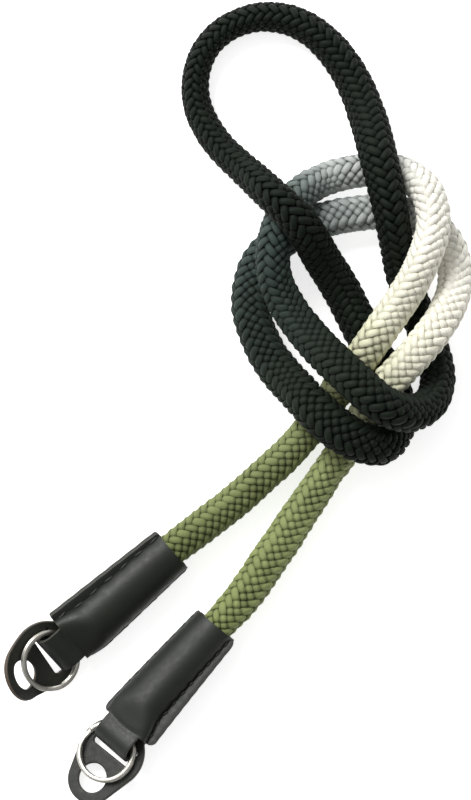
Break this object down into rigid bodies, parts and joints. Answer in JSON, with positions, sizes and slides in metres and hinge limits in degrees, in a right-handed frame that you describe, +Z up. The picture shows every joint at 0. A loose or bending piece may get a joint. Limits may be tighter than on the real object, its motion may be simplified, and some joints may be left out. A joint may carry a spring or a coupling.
{
  "type": "camera neck strap",
  "caption": "Round braided rope neck strap, folded and loosely knotted, with sewn leather ends that each hold a split ring and a leather protector tab.",
  "frame": {"origin": "on the surface the strap lies on, under the middle of the box round the two leather ends and their rings and tabs", "axes": "+Z up from the surface; +Y towards the folded middle of the rope, +X towards the knot's side; the leather ends point towards -X and -Y"},
  "size_m": [0.143, 0.2462, 0.0326],
  "materials": {
    "rope": "matte braid, shading from olive through cream and grey to near black",
    "sleeve_leather": "satin, fine grain",
    "tab_leather": "satin, with raw brown edges",
    "ring_steel": "polished"
  },
  "bodies": {
    "strap": {"rope": "rope", "sleeve_a": "sleeve_leather", "sleeve_b": "sleeve_leather", "tab_a": "tab_leather", "tab_b": "tab_leather"},
    "ring_a": {"ring_a": "ring_steel"},
    "ring_b": {"ring_b": "ring_steel"}
  },
  "joints": [
    {"name": "ring_a_swing", "type": "hinge", "parent": "strap", "child": "ring_a", "pos_m": [-0.01581, 0.00876, 0.00692], "axis": [-0.6876, 0.6234, 0.3722], "range_deg": [0, 45]},
    {"name": "ring_b_swing", "type": "hinge", "parent": "strap", "child": "ring_b", "pos_m": [0.00174, -0.01955, 0.00729], "axis": [-0.6728, 0.6378, -0.375], "range_deg": [0, 85]}
  ]
}
